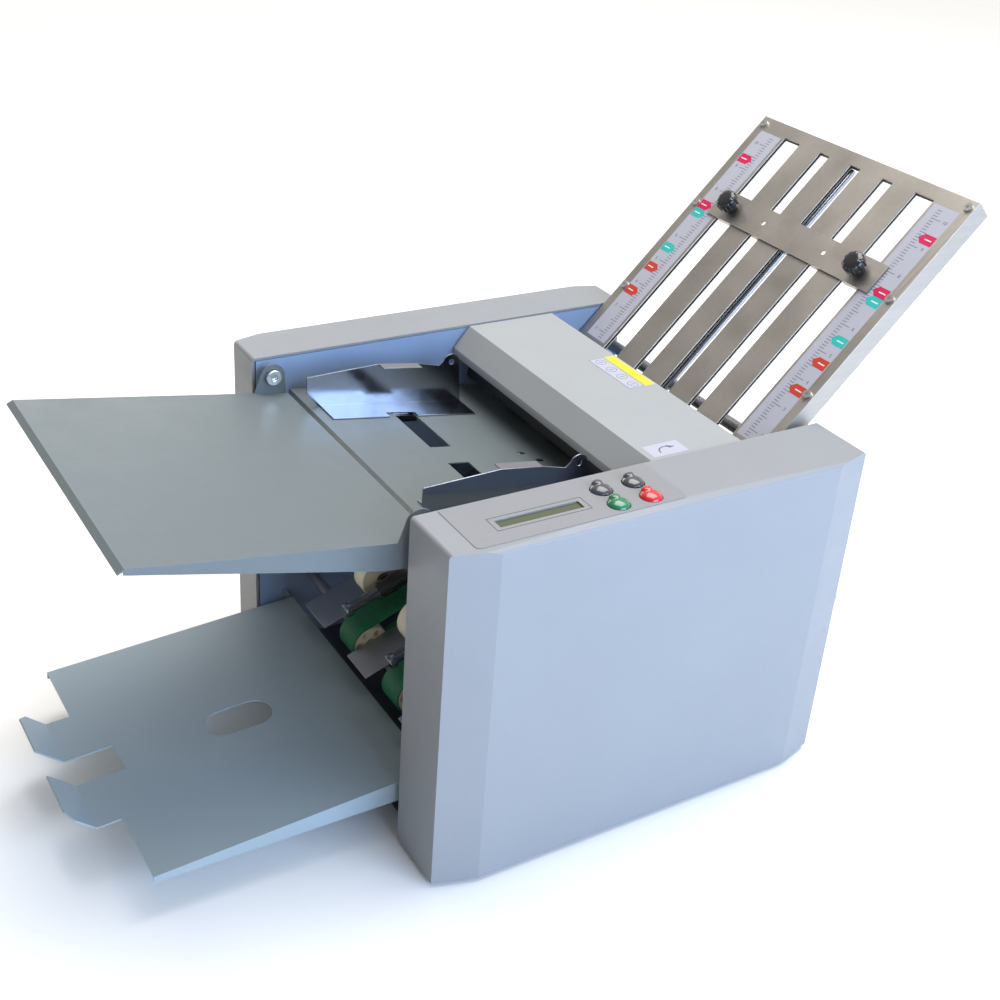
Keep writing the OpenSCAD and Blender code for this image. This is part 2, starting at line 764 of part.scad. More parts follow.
module lower_stop() color("#b9b2a9") place() lower_axes() {
    half = lower_slot_y + 16;
    difference() {
        block([lower_stop_at, -half, 0.5], [lower_stop_at + 16, half, 0.5 + stop_t]);
        translate([lower_stop_at + 8, 0, 0]) cylinder(r = 2.5 + fit, h = 10, center = true);
    }
    for (y = [-lower_slot_y, 0, lower_slot_y])
        block([lower_stop_at, y - 4.2, -plate_t - pocket_h + 0.4],
            [lower_stop_at + stop_t, y + 4.2, 0.5]);
}

module lower_stop_knob() color("#18181a") place() lower_axes()
    translate([lower_stop_at + 8, 0, 0.5 + stop_t]) clamp_knob(stop_t + plate_t + pocket_h);

// ---- Rollers, gears and drive ----

function involute(a) = tan(a) * 180 / PI - a;

// Angle from the middle of a tooth to its flank at radius q
function flank(q, r) = let (base = r * cos(20))
    tooth_share * 90 * (gear_r * 2 / gear_teeth) / r + involute(20)
    - involute(acos(min(1, base / max(q, base))));

// Involute gear outline with one tooth centred on the given angle
module gear_outline(teeth, phase) {
    r = gear_r * teeth / gear_teeth;
    base = r * cos(20);
    tip = r + gear_tip;
    radii = [r - gear_root, base, (base + r) / 2 + 0.1, (r + tip) / 2, tip];
    side = [for (q = radii) [q, flank(q, r)]];
    polygon([for (i = [0:teeth - 1]) let (a = phase + i * 360 / teeth) each concat(
        [for (p = side) polar(p[0], a - p[1])],
        [for (j = [4:-1:0]) polar(side[j][0], a + side[j][1])])]);
}

// Phase of a gear that meshes at angle a with one whose phase is p
function mesh(a, p, teeth_a, teeth_b) =
    a + 180 - 360 / teeth_b * (0.5 - (a - p) * teeth_a / 360);

module roller_gear(at, phase) {
    difference() {
        along_y(gear_y, gear_y + gear_w) translate(at) gear_outline(gear_teeth, phase);
        rod_y(at, shaft_r, gear_y - 1, gear_y + gear_w + 1);
        for (a = [0:60:300]) rod_y(at + polar(10, a), 2.4, gear_y - 1, gear_y + gear_w + 1);
    }
}

module roller_gear_1() color("#e8e2d0") place()
    roller_gear(roller_1, mesh(angle_1, 0, gear_teeth, gear_teeth));
module roller_gear_2() color("#e8e2d0") place() roller_gear(roller_2, 0);
module roller_gear_3() color("#e8e2d0") place()
    roller_gear(roller_3, mesh(angle_3, 0, gear_teeth, gear_teeth));
module roller_gear_4() color("#e8e2d0") place()
    roller_gear(roller_4, mesh(angle_4, 0, gear_teeth, gear_teeth));

module motor_pinion() color("#c9a55a") place() {
    along_y(gear_y, gear_y + gear_w) translate(pinion_at)
        gear_outline(pinion_teeth, mesh(180, 0, gear_teeth, pinion_teeth));
    rod_y(pinion_at, 3, motor_face_y + 1.5, gear_y + gear_w + 1.5);
}

// Roller with its shaft; far_end is how far the shaft passes the far frame
module fold_roller(at, far_end) {
    rod_y(at, roller_r, near_y + roller_gap, far_y - roller_gap);
    rod_y(at, shaft_r, gear_y - 1.5, far_y + far_end);
}

// Toothed-belt pulley with two flanges
module timing_pulley(at, y) {
    difference() {
        union() {
            rod_y(at, pulley_r, y, y + timing_w);
            for (f = [y - 1.2, y + timing_w]) rod_y(at, pulley_r + 1, f, f + 1.2);
        }
        rod_y(at, shaft_r, y - 2, y + timing_w + 2);
    }
}

module fold_roller_1() color("#d0d2d4") place() {
    fold_roller(roller_1, feed_pulley_y + timing_w + 2 - far_y);
    timing_pulley(roller_1, feed_pulley_y);
}
module fold_roller_2() color("#d0d2d4") place() fold_roller(roller_2, 6);
module fold_roller_3() color("#d0d2d4") place() fold_roller(roller_3, 6);
module fold_roller_4() color("#d0d2d4") place() {
    fold_roller(roller_4, delivery_pulley_y + timing_w + 2 - far_y);
    timing_pulley(roller_4, delivery_pulley_y);
}

module shaft_bushes() color("#a8823c") place() {
    for (s = shafts, near = [0, 1]) {
        inner = near == 1 ? near_y : far_y;
        outer = near == 1 ? near_y - frame_t : far_y + frame_t;
        difference() {
            union() {
                rod_y(s, bush_r, min(inner, outer), max(inner, outer));
                rod_y(s, bush_r + 2, near == 1 ? outer - 1.5 : outer, near == 1 ? outer : outer + 1.5);
            }
            rod_y(s, shaft_r + fit, near_y - 10, far_y + 10);
        }
    }
}

module feed_shaft() color("#d0d2d4") place() {
    rod_y(feed_at, shaft_r, near_y - frame_t - 3, feed_pulley_y + timing_w + 2);
    timing_pulley(feed_at, feed_pulley_y);
}

module feed_roller() color("#232323") place() {
    for (y = tyre_ys) difference() {
        rod_y(feed_at, feed_r, y - 17, y + 17);
        rod_y(feed_at, shaft_r, y - 18, y + 18);
    }
}

// Closed toothed belt round two equal pulleys
module timing_belt(a, b, y) {
    run = b - a;
    r = pulley_r + 0.3;
    along_y(y + 0.4, y + timing_w - 0.4) translate(a) rotate(atan2(run[1], run[0]))
        difference() {
            stadium(norm(run), r + timing_t);
            stadium(norm(run), r);
        }
}

module timing_belts() color("#1e1e1e") place() {
    timing_belt(feed_at, roller_1, feed_pulley_y);
    timing_belt(delivery_at, roller_4, delivery_pulley_y);
}

module drive_motor() color("#3a3c40") place() {
    rod_y(pinion_at, motor_r, motor_face_y - 2 - motor_l, motor_face_y - 2);
    rod_y(pinion_at, 29, motor_face_y - 2, motor_face_y);
    rod_y(pinion_at, 5, motor_face_y, motor_face_y + 1.2);
}

module power_supply() color("#b5b8ba") place() {
    difference() {
        block([115, 8, frame_z], [225, near_y - 10, frame_z + 34]);
        for (x = [125:8:215]) block([x, 0, frame_z + 10], [x + 3, 12, frame_z + 26]);
    }
    for (x = [122, 211]) block([x, near_y - 10, frame_z + 6], [x + 7, near_y - frame_t, frame_z + 12]);
}

module control_board() color("#2c6b3f") place() {
    block([40, 8, board_z - 1.6], [170, near_y - frame_t - 2, board_z]);
    for (i = [0:3]) at_button(i) translate([-3, -3, board_z]) cube([6, 6, 3.5]);
    for (x = [44, 160]) block([x, near_y - frame_t - 2, board_z - 8], [x + 8, near_y - frame_t,
        board_z]);
}

module display_module() color("#3f4a2a") place() {
    block([window_x - 40, window_y - 9, board_z], [window_x + 40, window_y + 9, board_z + 4]);
    block([window_x - window_l / 2 + 0.4, window_y - window_w / 2 + 0.4, board_z + 4],
        [window_x + window_l / 2 - 0.4, window_y + window_w / 2 - 0.4, top_z - 0.6]);
}

module control_overlay() color("#cdd0d2") place() difference() {
    translate([18, 8, top_z]) linear_extrude(overlay_t) {
        translate([4, 0]) square([148, near_y - 9.5]);
        translate([0, 4]) square([156, near_y - 13.5]);
        for (x = [4, 152]) translate([x, 4]) circle(4);
        for (x = [4, 152]) translate([x, near_y - 9.5 - 4]) circle(4);
    }
    for (i = [0:3]) at_button(i)
        translate([0, 0, top_z - 5]) linear_extrude(10) button_outline(button_gap);
    translate([window_x - window_l / 2, window_y - window_w / 2, top_z - 5])
        cube([window_l, window_w, 10]);
}

// ---- Push buttons, rocker and inlet ----

module push_button(i) {
    place() at_button(i) {
        translate([0, 0, top_z - 3]) linear_extrude(3 + button_h) button_outline(0);
        translate([0, 0, top_z - 4.5]) linear_extrude(1.5) button_outline(1);
        translate([0, button_back, top_z]) cylinder(r = button_back_r, h = button_h + 1);
        translate([-2, -2, board_z + 3.6 + button_travel])
            cube([4, 4, top_z - 4.5 - board_z - 3.6 - button_travel]);
    }
}

module up_button() color("#2b2b30") push_button(0);
module down_button() color("#2b2b30") push_button(1);
module start_button() color("#0f6b3f") push_button(2);
module stop_button() color("#d1202c") push_button(3);

module power_rocker() color("#151515") place() {
    translate([cover_l - rocker_in, rear_y, rocker_z]) along_y(-9.5, 9.5) rotate(rocker_tilt)
        polygon([[-4, -3], [0, -5.9], [5.8, -5.9], [4.4, 0], [5.8, 5.9], [0, 5.9], [-4, 3]]);
    rod_y([cover_l - rocker_in, rocker_z], rocker_pin_r, rear_y - 10.8, rear_y + 10.8);
}

module mains_inlet() color("#1a1a1a") place() {
    translate([cover_l, rear_y, inlet_z]) {
        difference() {
            union() {
                block([-24, -13.7, -9.7], [0, 13.7, 9.7]);
                block([0, -16, -12], [1.6, 16, 12]);
            }
            block([-14, -11, -7], [5, 11, 7]);
        }
        for (y = [-6, 0, 6]) block([-16, y - 1, -3], [-4, y + 1, 3]);
    }
    translate([cover_l, rear_y, rocker_z]) difference() {
        union() {
            block([-9, -11.3, -8.3], [0, 11.3, 8.3]);
            block([0, -13, -10], [1.2, 13, 10]);
        }
        block([-10, -10, -7], [10, 10, 7]);
        rod_y([-rocker_in, 0], rocker_pin_r + fit, -11, 11);
    }
}

// ---- Delivery ----

module delivery_belts() color("#0a5a30") place() belt_axes()
    for (y = belt_ys) along_y(y - belt_w / 2, y + belt_w / 2) difference() {
        stadium(belt_run, belt_r);
        stadium(belt_run, belt_r - belt_t);
    }

module belt_pulleys(at, bore) {
    half = belt_w / 2 - 1;
    for (y = belt_ys) difference() {
        rod_y(at, belt_r - belt_t - pulley_gap, y - half, y + half);
        rod_y(at, bore, y - belt_w, y + belt_w);
        for (a = [0:60:300], f = [y - half - 4, y + half - 5])
            rod_y(at + polar(9.2, a), 2.4, f, f + 9);
    }
}

module delivery_shaft() color("#d0d2d4") place() {
    rod_y(delivery_at, shaft_r, near_y - frame_t - 3, delivery_pulley_y + timing_w + 2);
    timing_pulley(delivery_at, delivery_pulley_y);
}

module delivery_pulleys() color("#e6dcc0") place() belt_pulleys(delivery_at, shaft_r);

module idler_pulleys() color("#e6dcc0") place()
    belt_pulleys(idler_at, idler_axle_r + fit);

module exit_chute() color("#b3b5b8") place() belt_axes() {
    belt_half = belt_w / 2;
    bands = [[near_y + strip_near, belt_ys[0] - belt_half - strip_gap],
        [belt_ys[0] + belt_half + strip_gap, belt_ys[1] - belt_half - 2],
        [belt_ys[1] + belt_half + strip_gap, far_y - strip_far]];
    bar_end = chute_bar_u + chute_bar_l;
    for (b = bands) block([chute_start, b[0], chute_n], [chute_bar_u, b[1], chute_n + chute_t]);
    difference() {
        block([chute_bar_u, near_y, chute_n], [bar_end, far_y, chute_n + chute_t]);
        for (y = belt_ys) block([chute_bar_u - 1, y - belt_half - 2, chute_n - 1],
            [bar_end - 8, y + belt_half + 2, chute_n + chute_t + 1]);
    }
}

// A rod along the belt run at y, in the belt axes
module belt_rod(y, r, x0, x1) {
    translate([x0, y, rod_n]) rotate([0, 90, 0]) cylinder(r = r, h = x1 - x0);
}

module exit_rods() color("#d8dadc") place() belt_axes() {
    for (y = belt_ys) {
        belt_rod(y, rod_r, rod_start, rod_end);
        belt_rod(y, rod_nut_r, rod_start - rod_nut_l, rod_start);
    }
    difference() {
        block([rod_end - 9, near_y, rod_n - 7], [rod_end + 1, far_y, rod_n + 7]);
        for (y = belt_ys) belt_rod(y, rod_r, rod_start, rod_end);
    }
}

// Sliding sleeves on the rods, joined by a tie behind the wheels, with a stub axle each
module exit_carrier() color("#3c3e42") place() belt_axes() {
    axle_in = rod_r + wheel_gap;
    wheel_end = wheel_in + wheel_w + wheel_gap;
    difference() {
        union() {
            for (y = belt_ys)
                belt_rod(y, rod_r + carrier_wall, exit_along - carrier_half, tie_u + tie_w);
            block([tie_u, belt_ys[0], rod_n - tie_half], [tie_u + tie_w, belt_ys[1], rod_n + tie_half]);
        }
        for (y = belt_ys) belt_rod(y, rod_r + fit, 0, rod_end);
    }
    for (y = belt_ys) {
        rod_y([exit_along, exit_n], exit_axle_r, y + axle_in, y + wheel_end);
        rod_y([exit_along, exit_n], exit_axle_r + 2, y + axle_in, y + wheel_in - wheel_gap);
        rod_y([exit_along, exit_n], exit_axle_r + 2, y + wheel_end, y + wheel_end + 1.6);
    }
}

module exit_wheels() color("#e9dfc4") place() belt_axes()
    for (y = belt_ys) difference() {
        rod_y([exit_along, exit_n], exit_wheel_r, y + wheel_in, y + wheel_in + wheel_w);
        rod_y([exit_along, exit_n], exit_axle_r + fit, y, y + wheel_in + wheel_w + 1);
    }

// Tray sheet in its own axes: x runs to minus tray length, top at z = 0
module stacker_tray() color("#8d9aa2") place() {
    y0 = near_y + tray_gap;
    y1 = far_y - tray_gap;
    len = (tray_l + tray_x1) / cos(tray_slope);
    tab_mid = mid_y + 1;
    tray_axes() {
        difference() {
            block([-len, y0, -sheet_t], [0, y1, 0]);
            block([-len - 1, tab_mid - tab_slot_w / 2, -5], [-len + tab_l, tab_mid + tab_slot_w / 2, 5]);
            translate([-93.5, mid_y - 1, 0]) obround(50, 28, 5);
        }
        for (s = [-1, 1]) translate([0, tab_mid + s * (tab_slot_w / 2 + tab_w / 2), 0]) {
            block([-len - tab_l, -tab_w / 2, -sheet_t], [-len, tab_w / 2, 0]);
            translate([-len - tab_l, 0, 0]) rotate([0, 45, 0]) difference() {
                block([-tab_tip, -tab_w / 2, -sheet_t], [0, tab_w / 2, 0]);
                translate([-tab_tip, s * tab_w / 2, 0]) rotate(45) cube(9, center = true);
            }
        }
    }
    for (y = [y0, y1 - sheet_t]) along_y(y, y + sheet_t) difference() {
        polygon([[-tray_l, tray_tip_z - 0.6], [tray_x1, tray_root_z - 0.6],
            [tray_x1 + 4, tray_root_z - 4], [tray_x1 + 4, tray_root_z - 9],
            [tray_x1 - 4, tray_flange_z], [-tray_l, tray_flange_z]]);
        translate(tray_pin) circle(pin_r + fit);
    }
}

base_plate();
near_frame();
far_frame();
cross_bars();
near_cover();
far_cover();
chassis_screws();
rubber_feet();
frame_pins();
pivot_screws();
feed_deck();
stack_gate();
separator_pad();
fold_plate_top();
fold_plate_bottom();
plate_rail();
plate_screws();
lower_plate();
shaft_bushes();
delivery_belts();
exit_chute();
exit_rods();
timing_belts();
drive_motor();
power_supply();
control_board();
display_module();
control_overlay();
mains_inlet();
feed_table();
hood();
near_guide();
far_guide();
paper_stop();
near_stop_knob();
far_stop_knob();
lower_stop();
lower_stop_knob();
stacker_tray();
feed_shaft();
feed_roller();
fold_roller_1();
fold_roller_2();
fold_roller_3();
fold_roller_4();
roller_gear_1();
roller_gear_2();
roller_gear_3();
roller_gear_4();
motor_pinion();
delivery_shaft();
delivery_pulleys();
idler_pulleys();
exit_carrier();
exit_wheels();
start_button();
stop_button();
up_button();
down_button();
power_rocker();
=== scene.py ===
"""Looks of the desktop paper folding machine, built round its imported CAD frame."""
import json
import math

import bmesh
import bpy
from mathutils import Matrix, Vector


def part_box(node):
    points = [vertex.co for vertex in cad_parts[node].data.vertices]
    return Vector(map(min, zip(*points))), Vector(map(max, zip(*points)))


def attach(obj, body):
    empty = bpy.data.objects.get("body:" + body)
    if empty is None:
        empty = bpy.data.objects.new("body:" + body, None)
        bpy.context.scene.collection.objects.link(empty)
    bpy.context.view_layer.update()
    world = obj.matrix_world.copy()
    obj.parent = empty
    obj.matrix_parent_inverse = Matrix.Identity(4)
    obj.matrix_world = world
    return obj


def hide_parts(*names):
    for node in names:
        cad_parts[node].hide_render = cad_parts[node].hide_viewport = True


MM = 0.001
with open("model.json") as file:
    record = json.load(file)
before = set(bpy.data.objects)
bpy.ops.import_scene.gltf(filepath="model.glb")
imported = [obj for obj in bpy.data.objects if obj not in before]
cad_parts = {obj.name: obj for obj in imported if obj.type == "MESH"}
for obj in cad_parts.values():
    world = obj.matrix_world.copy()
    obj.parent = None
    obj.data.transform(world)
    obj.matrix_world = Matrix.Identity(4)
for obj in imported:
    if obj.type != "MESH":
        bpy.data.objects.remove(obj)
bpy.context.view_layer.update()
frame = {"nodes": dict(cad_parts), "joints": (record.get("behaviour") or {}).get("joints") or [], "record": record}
nodes = frame["nodes"]
joints = {joint["name"]: joint for joint in frame["joints"]}
scene = bpy.context.scene


# ---------------------------------------------------------------- places
cover_low, cover_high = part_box("near_cover")


def at(x, y, z):
    """A point in millimetres from the near cover's feed end and outer face, above the floor."""
    return Vector((cover_low.x + x * MM, cover_low.y + y * MM, z * MM))


def node_points(node):
    return [vertex.co for vertex in nodes[node].data.vertices]


# ---------------------------------------------------------------- shader helpers
def new_material(name):
    material = bpy.data.materials.new(name)
    material.use_nodes = True
    tree = material.node_tree
    return material, tree, tree.nodes["Principled BSDF"]


def noise(tree, scale, detail=2.0, rough=0.5, stretch=(1, 1, 1)):
    """Noise in the object's own coordinates; scale is in features per metre."""
    place = tree.nodes.new("ShaderNodeTexCoord")
    mapping = tree.nodes.new("ShaderNodeMapping")
    mapping.inputs["Scale"].default_value = stretch
    texture = tree.nodes.new("ShaderNodeTexNoise")
    texture.inputs["Scale"].default_value = scale
    texture.inputs["Detail"].default_value = detail
    texture.inputs["Roughness"].default_value = rough
    tree.links.new(place.outputs["Object"], mapping.inputs["Vector"])
    tree.links.new(mapping.outputs["Vector"], texture.inputs["Vector"])
    return texture.outputs["Fac"]


def spread(tree, value, low, high, from_low=0.3, from_high=0.7):
    node = tree.nodes.new("ShaderNodeMapRange")
    node.inputs["From Min"].default_value = from_low
    node.inputs["From Max"].default_value = from_high
    node.inputs["To Min"].default_value = low
    node.inputs["To Max"].default_value = high
    tree.links.new(value, node.inputs["Value"])
    return node.outputs["Result"]


def mix_colours(tree, value, first, second):
    node = tree.nodes.new("ShaderNodeMix")
    node.data_type = "RGBA"
    for socket, colour in ((node.inputs[6], first), (node.inputs[7], second)):
        if hasattr(colour, "is_linked"):
            tree.links.new(colour, socket)
        else:
            socket.default_value = (*colour, 1)
    tree.links.new(value, node.inputs[0])
    return node.outputs[2]


def bump(tree, shader, heights):
    """Chains height fields into the shader's normal; each is (value, strength, distance)."""
    normal = None
    for value, strength, distance in heights:
        node = tree.nodes.new("ShaderNodeBump")
        node.inputs["Strength"].default_value = strength
        node.inputs["Distance"].default_value = distance
        tree.links.new(value, node.inputs["Height"])
        if normal:
            tree.links.new(normal, node.inputs["Normal"])
        normal = node.outputs["Normal"]
    tree.links.new(normal, shader.inputs["Normal"])


def edge_mask(tree, radius):
    """White along sharp edges, from the difference between the true and a rounded normal."""
    rounded = tree.nodes.new("ShaderNodeBevel")
    rounded.samples = 4
    rounded.inputs["Radius"].default_value = radius
    true = tree.nodes.new("ShaderNodeNewGeometry")
    dot = tree.nodes.new("ShaderNodeVectorMath")
    dot.operation = "DOT_PRODUCT"
    tree.links.new(rounded.outputs["Normal"], dot.inputs[0])
    tree.links.new(true.outputs["Normal"], dot.inputs[1])
    return spread(tree, dot.outputs["Value"], 1.0, 0.0, 0.8, 0.99)


def shades(colour, amount):
    dark = tuple(channel * (1 - amount) for channel in colour)
    light = tuple(min(1, channel * (1 + amount)) for channel in colour)
    return dark, light


# ---------------------------------------------------------------- materials
def paint(name, colour, rough=0.42, grain=1500, grain_depth=0.12, wear=0.25, coat=0.0):
    """Powder coat: fine orange peel, slow tone drift, dust in the roughness, worn edges."""
    material, tree, shader = new_material(name)
    dark, light = shades(colour, 0.05)
    body = mix_colours(tree, noise(tree, 14, 4), dark, light)
    specks = spread(tree, noise(tree, 900, 1), 0.0, 0.35, 0.62, 0.78)
    body = mix_colours(tree, specks, body, tuple(min(1, c * 1.25) for c in colour))
    if wear:
        rub = tree.nodes.new("ShaderNodeMath")
        rub.operation = "MULTIPLY"
        tree.links.new(edge_mask(tree, 0.0006), rub.inputs[0])
        tree.links.new(spread(tree, noise(tree, 60, 5, 0.7), 0.0, wear, 0.45, 0.75), rub.inputs[1])
        body = mix_colours(tree, rub.outputs["Value"], body, (0.72, 0.72, 0.70))
    tree.links.new(body, shader.inputs["Base Color"])
    dust = spread(tree, noise(tree, 30, 5, 0.65), rough - 0.06, rough + 0.08)
    tree.links.new(dust, shader.inputs["Roughness"])
    shader.inputs["Coat Weight"].default_value = coat
    shader.inputs["Coat Roughness"].default_value = 0.25
    bump(tree, shader, [(noise(tree, grain, 2), grain_depth, 0.0003), (noise(tree, 260, 1), 0.05, 0.0005)])
    return material


def brushed(name, colour, along, rough=0.28, lines=2600, depth=0.10):
    """Brushed sheet: fine scratches along one axis and smudges."""
    material, tree, shader = new_material(name)
    stretch = tuple(0.015 if axis == along else 1 for axis in "xyz")
    dark, light = shades(colour, 0.10)
    tone = mix_colours(tree, noise(tree, lines * 0.4, 4, 0.6, stretch), dark, light)
    tone = mix_colours(tree, spread(tree, noise(tree, 9, 3), 0.0, 0.35), tone, shades(colour, 0.18)[0])
    tree.links.new(tone, shader.inputs["Base Color"])
    shader.inputs["Metallic"].default_value = 1.0
    smudge = spread(tree, noise(tree, 22, 5, 0.6), rough - 0.05, rough + 0.10)
    tree.links.new(smudge, shader.inputs["Roughness"])
    bump(tree, shader, [(noise(tree, lines, 3, 0.6, stretch), depth, 0.0002)])
    return material


def polished(name, colour=(0.80, 0.80, 0.79), rough=0.10):
    """Plated or polished metal with light handling marks."""
    material, tree, shader = new_material(name)
    dark, light = shades(colour, 0.04)
    tree.links.new(mix_colours(tree, noise(tree, 35, 4), dark, light), shader.inputs["Base Color"])
    shader.inputs["Metallic"].default_value = 1.0
    tree.links.new(spread(tree, noise(tree, 45, 6, 0.7), rough, rough + 0.14), shader.inputs["Roughness"])
    bump(tree, shader, [(noise(tree, 120, 2), 0.03, 0.0005)])
    return material


def plastic(name, colour, rough=0.35, grain=1800, depth=0.10, coat=0.0, sheen=0.06):
    """Moulded plastic: spark-eroded grain, tone drift and rubbed edges."""
    material, tree, shader = new_material(name)
    dark, light = shades(colour, sheen)
    body = mix_colours(tree, noise(tree, 40, 4), dark, light)
    lighter = tuple(min(1, channel * 1.3 + 0.02) for channel in colour)
    body = mix_colours(tree, spread(tree, edge_mask(tree, 0.0004), 0.0, 0.4, 0.0, 1.0), body, lighter)
    tree.links.new(body, shader.inputs["Base Color"])
    tree.links.new(spread(tree, noise(tree, 60, 5), rough - 0.05, rough + 0.08), shader.inputs["Roughness"])
    shader.inputs["Coat Weight"].default_value = coat
    shader.inputs["Coat Roughness"].default_value = 0.12
    bump(tree, shader, [(noise(tree, grain, 2), depth, 0.0002)])
    return material


def rubber(name, colour, rough=0.7, grain=1200):
    material, tree, shader = new_material(name)
    dark, light = shades(colour, 0.15)
    body = mix_colours(tree, noise(tree, 50, 5), dark, light)
    dust = spread(tree, noise(tree, 25, 6, 0.7), 0.0, 0.12, 0.5, 0.8)
    tree.links.new(mix_colours(tree, dust, body, (0.45, 0.44, 0.42)), shader.inputs["Base Color"])
    tree.links.new(spread(tree, noise(tree, 80, 4), rough - 0.08, rough + 0.1), shader.inputs["Roughness"])
    bump(tree, shader, [(noise(tree, grain, 3), 0.25, 0.0003)])
    return material


def belt_cloth(name, colour):
    """Woven belt face: crossed fine ribs under a thin rubber skin."""
    material, tree, shader = new_material(name)
    across = noise(tree, 1500, 1, 0.5, (0.2, 1, 0.2))
    along = noise(tree, 1500, 1, 0.5, (1, 0.1, 1))
    dark, light = shades(colour, 0.25)
    tree.links.new(mix_colours(tree, spread(tree, along, 0, 1), dark, light), shader.inputs["Base Color"])
    tree.links.new(spread(tree, noise(tree, 50, 4), 0.42, 0.6), shader.inputs["Roughness"])
    bump(tree, shader, [(across, 0.25, 0.0003), (along, 0.2, 0.0003)])
    return material


def printed(name, colour, rough=0.4):
    """Ink or film: nearly even, with the faint mottle of a print."""
    material, tree, shader = new_material(name)
    dark, light = shades(colour, 0.04)
    tree.links.new(mix_colours(tree, noise(tree, 300, 3), dark, light), shader.inputs["Base Color"])
    tree.links.new(spread(tree, noise(tree, 90, 3), rough - 0.04, rough + 0.05), shader.inputs["Roughness"])
    return material


def display_glass(name):
    """Reflective olive display with a faint cell raster behind a clear window."""
    material, tree, shader = new_material(name)
    cells = noise(tree, 2200, 0, 0.5, (1, 0.7, 1))
    tone = mix_colours(tree, cells, (0.070, 0.072, 0.034), (0.095, 0.096, 0.048))
    tone = mix_colours(tree, spread(tree, noise(tree, 22, 1), 0, 1), tone, (0.052, 0.078, 0.028))
    tree.links.new(tone, shader.inputs["Base Color"])
    tree.links.new(spread(tree, noise(tree, 60, 3), 0.10, 0.2), shader.inputs["Roughness"])
    shader.inputs["Coat Weight"].default_value = 0.3
    shader.inputs["Coat Roughness"].default_value = 0.05
    return material


MATERIALS = {
    "cover_paint": paint("cover_paint", (0.245, 0.252, 0.262), 0.48, 1300, 0.08),
    "frame_paint": paint("frame_paint", (0.25, 0.33, 0.47), 0.38),
    "dark_paint": paint("dark_paint", (0.045, 0.046, 0.050), 0.45),
    "deck_paint": paint("deck_paint", (0.122, 0.143, 0.148), 0.40, 1700, 0.06, 0.15),
    # The tray's paint is the deck's paint made lighter and bluer: painted light, standing in for the bluish light
    # that reaches the tray too weakly in its place under the table.
    "tray_paint": paint("tray_paint", (0.270, 0.325, 0.350), 0.42, 1700, 0.06, 0.15),
    "hood_metal": paint("hood_metal", (0.300, 0.310, 0.312), 0.58, 1500, 0.06, 0.15),
    "stainless": brushed("stainless", (0.42, 0.39, 0.355), "x", 0.42, 800, 0.05),
    "polished": polished("polished", (0.34, 0.35, 0.385), 0.10),
    "steel": brushed("steel", (0.42, 0.42, 0.44), "y", 0.36, 900, 0.05),
    "plated": polished("plated", (0.74, 0.73, 0.70), 0.16),
    "black_plastic": plastic("black_plastic", (0.018, 0.018, 0.020), 0.30, coat=0.3),
    "ivory_plastic": plastic("ivory_plastic", (0.76, 0.69, 0.52), 0.42),
    "green_belt": belt_cloth("green_belt", (0.008, 0.15, 0.065)),
    "black_rubber": rubber("black_rubber", (0.022, 0.022, 0.022)),
    "roller_rubber": rubber("roller_rubber", (0.10, 0.10, 0.10), 0.55, 2000),
    "bronze": polished("bronze", (0.60, 0.42, 0.20), 0.28),
    "pcb": plastic("pcb", (0.02, 0.16, 0.07), 0.3, coat=0.5),
    "display": display_glass("display"),
    "overlay": printed("overlay", (0.225, 0.226, 0.232), 0.40),
    "green_button": plastic("green_button", (0.008, 0.15, 0.06), 0.22, 900, 0.04, 0.6),
    "red_button": plastic("red_button", (0.55, 0.012, 0.02), 0.22, 900, 0.04, 0.6),
    "black_button": plastic("black_button", (0.045, 0.045, 0.055), 0.22, 900, 0.04, 0.6),
    "cork": rubber("cork", (0.30, 0.18, 0.10), 0.8, 700),
}
KNOB = plastic("knob_moulding", (0.012, 0.012, 0.014), 0.20, 500, 0.02, 0.5)
PRINT = {
    "film": printed("film_white", (0.40, 0.40, 0.46), 0.45),
    "ink": printed("ink_grey", (0.10, 0.10, 0.11), 0.5),
    "dark": printed("ink_dark", (0.02, 0.02, 0.022), 0.5),
    "teal": printed("ink_teal", (0.02, 0.42, 0.38), 0.4),
    "orange": printed("ink_orange", (0.50, 0.035, 0.015), 0.4),
    "crimson": printed("ink_crimson", (0.55, 0.0, 0.07), 0.4),
    "yellow": printed("ink_yellow", (0.60, 0.52, 0.015), 0.4),
    "white": printed("ink_white", (0.75, 0.75, 0.74), 0.4),
}

node_slots = {part["node"]: part["material_slot"] for part in frame["record"]["subparts"]}
for name, obj in nodes.items():
    obj.data.materials.clear()
    obj.data.materials.append(MATERIALS[node_slots[name]])


# ---------------------------------------------------------------- mesh helpers
PIERCED = ("near_cover", "fold_plate_top", "fold_plate_bottom", "lower_plate", "stacker_tray")


def body_of(node):
    for body, members in frame["record"]["behaviour"]["bodies"].items():
        if node in members:
            return body


def add_mesh(name, bm, material, body, smooth=None):
    """Makes an object of a bmesh, shades it below an angle, and hangs it on a body."""
    mesh = bpy.data.meshes.new(name)
    bm.to_mesh(mesh)
    bm.free()
    mesh.materials.append(material)
    obj = bpy.data.objects.new(name, mesh)
    scene.collection.objects.link(obj)
    if smooth:
        shade(mesh, smooth)
    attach(obj, body)
    return obj


def shade(mesh, angle):
    """Smooth shading with edges over the angle kept sharp."""
    bm = bmesh.new()
    bm.from_mesh(mesh)
    for face in bm.faces:
        face.smooth = True
    limit = math.radians(angle)
    for edge in bm.edges:
        if len(edge.link_faces) == 2 and edge.calc_face_angle(0) > limit:
            edge.smooth = False
    bm.to_mesh(mesh)
    bm.free()


